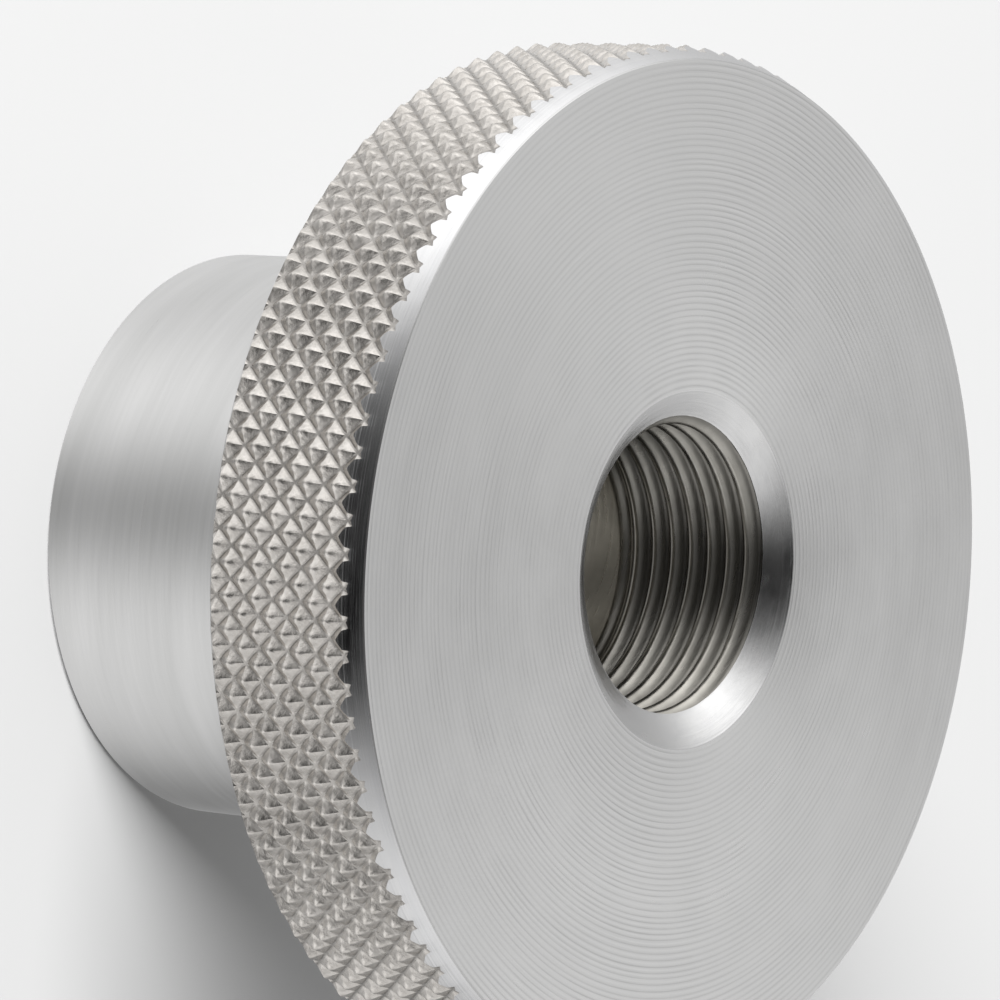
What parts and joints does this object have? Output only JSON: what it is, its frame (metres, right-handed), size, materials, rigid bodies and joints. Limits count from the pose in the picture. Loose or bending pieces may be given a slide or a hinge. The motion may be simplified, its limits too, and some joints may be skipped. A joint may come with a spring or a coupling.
{
  "type": "knurled nut",
  "caption": "Collared knurled nut with a wide diamond-knurled head and a countersunk, finely threaded hole down its axis.",
  "frame": {"origin": "centre of the collar's end face, which is the lowest face", "axes": "+Z along the nut's turning axis, from the collar end to the broad threaded face of the head; X and Y are alike, because the nut is round"},
  "size_m": [0.0336, 0.0336, 0.0192],
  "materials": {
    "turned_steel": "fine-turned stainless steel, satin"
  },
  "bodies": {
    "root": {"knurled_nut": "turned_steel"}
  },
  "joints": []
}
